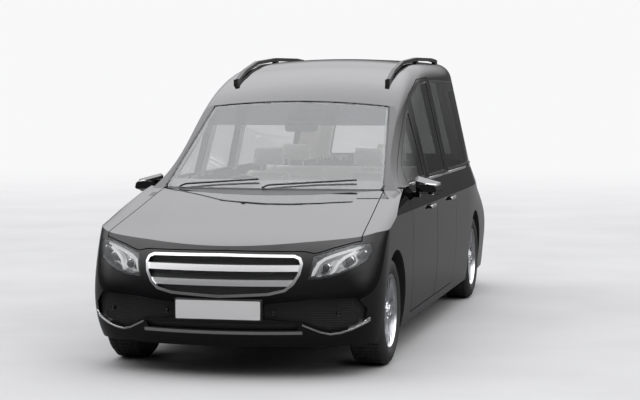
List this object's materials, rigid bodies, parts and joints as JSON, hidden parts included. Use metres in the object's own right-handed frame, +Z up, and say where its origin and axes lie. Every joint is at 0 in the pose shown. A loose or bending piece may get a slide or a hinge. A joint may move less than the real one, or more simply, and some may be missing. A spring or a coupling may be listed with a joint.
{
  "type": "hearse",
  "caption": "Long estate hearse with a glazed load space, opening side doors, bonnet and tailgate, steered front wheels and a roller deck for a coffin.",
  "frame": {"origin": "on the ground, midway between nose and tail and between the sides", "axes": "+Z up, +Y towards the tail, +X towards the car's left side"},
  "size_m": [2.1512, 5.9041, 1.9659],
  "materials": {
    "alloy": "machined and lacquered alloy",
    "chrome": "polished",
    "dash": "soft grained plastic",
    "deck_wood": "varnished veneer",
    "exhaust": "dulled steel",
    "glass": "lightly tinted glass",
    "lamp": "clear lens over bright reflectors",
    "lamp_red": "red lens",
    "leather": "pale grey leather",
    "paint": "gloss black paint",
    "steel": "black coated steel",
    "trim_black": "grained",
    "tyre": "matt"
  },
  "bodies": {
    "body": {"side_frame_left": "paint", "side_frame_right": "paint", "roof": "paint", "roof_rails": "trim_black", "windscreen": "glass", "quarter_glass": "glass", "cowl_bulkhead": "trim_black", "wipers": "trim_black", "front_wings": "paint", "front_bumper": "paint", "radiator_grille": "chrome", "headlamps": "lamp", "rear_bumper": "paint", "tail_lamps": "lamp_red", "floor_pan": "steel", "engine_block": "steel", "axle_carriers": "steel", "exhaust": "exhaust", "dashboard": "dash", "seats": "leather", "coffin_deck": "deck_wood"},
    "bonnet": {"bonnet": "paint"},
    "tailgate": {"tailgate": "paint", "tailgate_glass": "glass"},
    "door_front_left": {"door_front_left": "paint", "glass_front_left": "glass", "mirror_left": "paint"},
    "door_rear_left": {"door_rear_left": "paint", "glass_rear_left": "glass"},
    "knuckle_left": {"knuckle_left": "steel"},
    "wheel_front_left": {"tyre_front_left": "tyre", "rim_front_left": "alloy"},
    "wheel_rear_left": {"tyre_rear_left": "tyre", "rim_rear_left": "alloy"},
    "door_front_right": {"door_front_right": "paint", "glass_front_right": "glass", "mirror_right": "paint"},
    "door_rear_right": {"door_rear_right": "paint", "glass_rear_right": "glass"},
    "knuckle_right": {"knuckle_right": "steel"},
    "wheel_front_right": {"tyre_front_right": "tyre", "rim_front_right": "alloy"},
    "wheel_rear_right": {"tyre_rear_right": "tyre", "rim_rear_right": "alloy"},
    "steering_wheel": {"steering_wheel": "dash"}
  },
  "joints": [
    {"name": "bonnet_hinge", "type": "hinge", "parent": "body", "child": "bonnet", "pos_m": [0, -1.545, 1.07], "axis": [-1, 0, 0], "range_deg": [0, 48]},
    {"name": "tailgate_hinge", "type": "hinge", "parent": "body", "child": "tailgate", "pos_m": [0, 2.755, 1.859], "axis": [1, 0, 0], "range_deg": [0, 80]},
    {"name": "door_front_left_hinge", "type": "hinge", "parent": "body", "child": "door_front_left", "pos_m": [0.93, -1.483, 0.6], "axis": [0, 0, -1], "range_deg": [0, 68]},
    {"name": "door_rear_left_hinge", "type": "hinge", "parent": "body", "child": "door_rear_left", "pos_m": [0.93, -0.46, 0.6], "axis": [0, 0, -1], "range_deg": [0, 68]},
    {"name": "door_front_right_hinge", "type": "hinge", "parent": "body", "child": "door_front_right", "pos_m": [-0.93, -1.483, 0.6], "axis": [0, 0, 1], "range_deg": [0, 68]},
    {"name": "door_rear_right_hinge", "type": "hinge", "parent": "body", "child": "door_rear_right", "pos_m": [-0.93, -0.46, 0.6], "axis": [0, 0, 1], "range_deg": [0, 68]},
    {"name": "steer_left", "type": "hinge", "parent": "body", "child": "knuckle_left", "pos_m": [0.76, -2.11, 0.337], "axis": [0, 0, 1], "range_deg": [-32, 32]},
    {"name": "wheel_front_left_spin", "type": "hinge", "parent": "knuckle_left", "child": "wheel_front_left", "pos_m": [0.785, -2.11, 0.337], "axis": [1, 0, 0], "continuous": true},
    {"name": "wheel_rear_left_spin", "type": "hinge", "parent": "body", "child": "wheel_rear_left", "pos_m": [0.785, 1.61, 0.337], "axis": [1, 0, 0], "continuous": true},
    {"name": "steer_right", "type": "hinge", "parent": "body", "child": "knuckle_right", "pos_m": [-0.76, -2.11, 0.337], "axis": [0, 0, 1], "range_deg": [-32, 32]},
    {"name": "wheel_front_right_spin", "type": "hinge", "parent": "knuckle_right", "child": "wheel_front_right", "pos_m": [-0.785, -2.11, 0.337], "axis": [1, 0, 0], "continuous": true},
    {"name": "wheel_rear_right_spin", "type": "hinge", "parent": "body", "child": "wheel_rear_right", "pos_m": [-0.785, 1.61, 0.337], "axis": [1, 0, 0], "continuous": true},
    {"name": "steering_wheel_turn", "type": "hinge", "parent": "body", "child": "steering_wheel", "pos_m": [-0.37, -0.84, 0.946], "axis": [0, 0.9063, 0.4226], "range_deg": [-450, 450]}
  ],
  "couplings": [
    {"joint": "steer_right", "follows": "steer_left", "ratio": 1},
    {"joint": "steering_wheel_turn", "follows": "steer_left", "ratio": 14}
  ]
}
